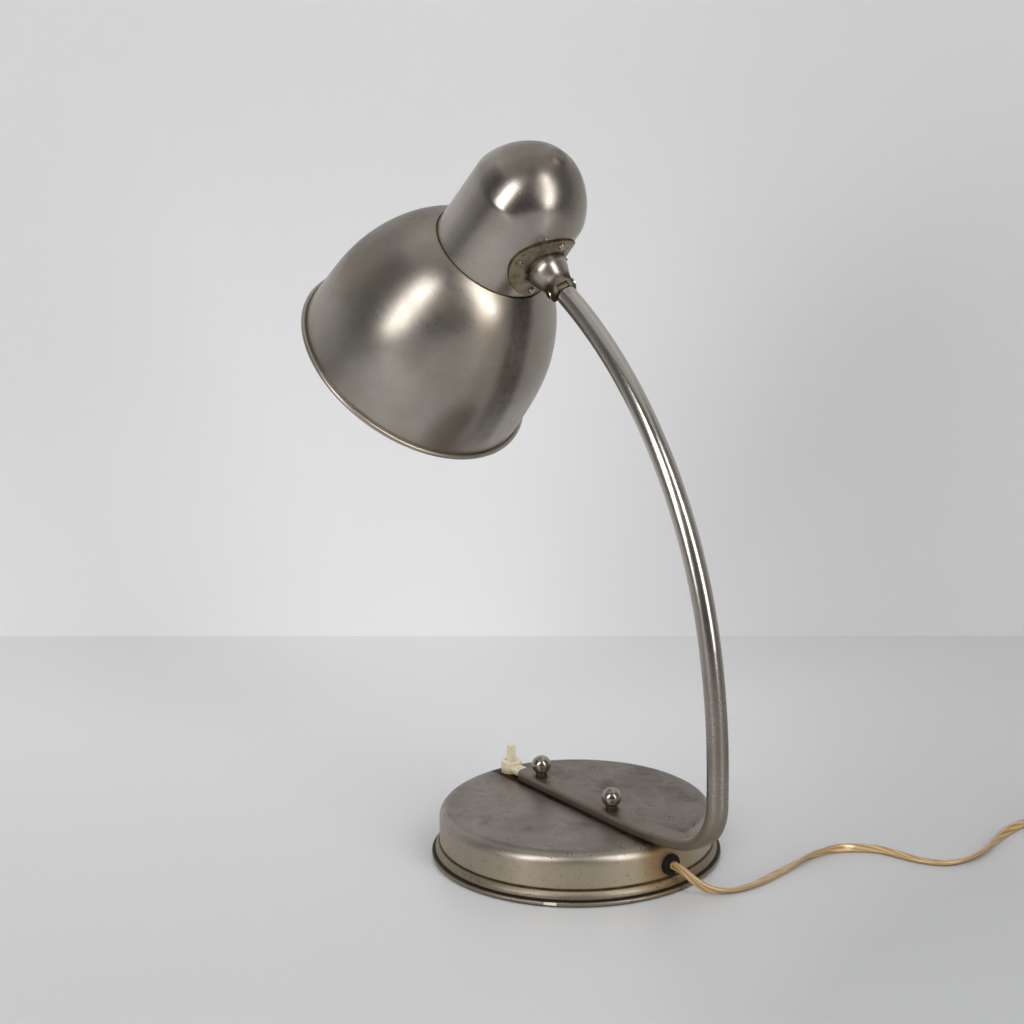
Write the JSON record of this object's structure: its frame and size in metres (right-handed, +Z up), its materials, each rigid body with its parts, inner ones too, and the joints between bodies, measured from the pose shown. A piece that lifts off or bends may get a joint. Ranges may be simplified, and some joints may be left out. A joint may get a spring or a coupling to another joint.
{
  "type": "desk lamp",
  "caption": "Desk lamp with a spun metal bell shade under a domed cap, a two-way knuckle, a bent tube arm clamped to a weighted round base, a toggle switch and a clear gold cord.",
  "frame": {"origin": "middle of the felt pad's underside, on the table", "axes": "+Z up, +X along the flat bar towards the arm's bend, the arm in the XZ plane"},
  "size_m": [0.4208, 0.4926, 0.436],
  "materials": {
    "nickel": "worn satin nickel plate with fine spun marks and some tarnish",
    "bright_nickel": "polished nickel",
    "tarnished_nickel": "yellowed nickel plate",
    "steel": "zinc-plated steel",
    "iron": "rough casting",
    "felt": "pressed felt",
    "black_rubber": "moulded",
    "ivory": "aged moulding",
    "brass": "plain",
    "white_lead": "insulated wire",
    "porcelain": "glazed insulator",
    "glass": "clear glass",
    "gold_flex": "clear amber covering over copper strands",
    "dark_plastic": "moulded plug"
  },
  "bodies": {
    "stand": {"base_shell": "nickel", "base_weight": "iron", "bottom_plate": "steel", "felt_pad": "felt", "bottom_screw": "steel", "clamp_studs": "steel", "ball_nuts": "bright_nickel", "stud_washers": "steel", "stud_nuts": "steel", "arm_tube": "nickel", "switch_block": "ivory", "lever_pin": "steel", "switch_terminals": "brass", "switch_leads": "white_lead", "cable_grommet": "black_rubber", "base_lead": "gold_flex", "cord_stop": "dark_plastic", "arm_lead": "white_lead", "arm_knuckle": "nickel", "cord": "gold_flex", "cord_coil": "gold_flex", "cord_tail": "gold_flex", "cord_tie": "dark_plastic", "plug_body": "dark_plastic", "plug_pins": "brass"},
    "knuckle": {"joint_boss": "nickel", "pivot_screws": "bright_nickel", "friction_washers": "steel", "swivel_spring": "steel", "swivel_nut": "steel"},
    "head": {"cap": "nickel", "joint_plate": "tarnished_nickel", "plate_screws": "bright_nickel", "saddle_block": "iron", "holder_bracket": "steel", "shade": "nickel", "shade_rings": "brass", "holder_shell": "brass", "holder_insert": "porcelain", "screw_shell": "brass", "centre_contact": "brass", "nipple": "brass", "nipple_nuts": "brass", "bulb_glass": "glass", "bulb_cap": "steel", "head_lead": "white_lead"},
    "lever": {"switch_lever": "ivory"}
  },
  "joints": [
    {"name": "shade_tilt", "type": "hinge", "parent": "stand", "child": "knuckle", "pos_m": [-0.01171, 0, 0.35026], "axis": [0.2049, 0.9063, 0.3696], "range_deg": [-50, 30]},
    {"name": "head_swivel", "type": "hinge", "parent": "knuckle", "child": "head", "pos_m": [-0.01171, 0, 0.35026], "axis": [-0.7254, -0.1129, 0.679], "range_deg": [-90, 90]},
    {"name": "switch_lever", "type": "hinge", "parent": "stand", "child": "lever", "pos_m": [-0.0698, 0, 0.0362], "axis": [0, 1, 0], "range_deg": [0, 20]}
  ]
}
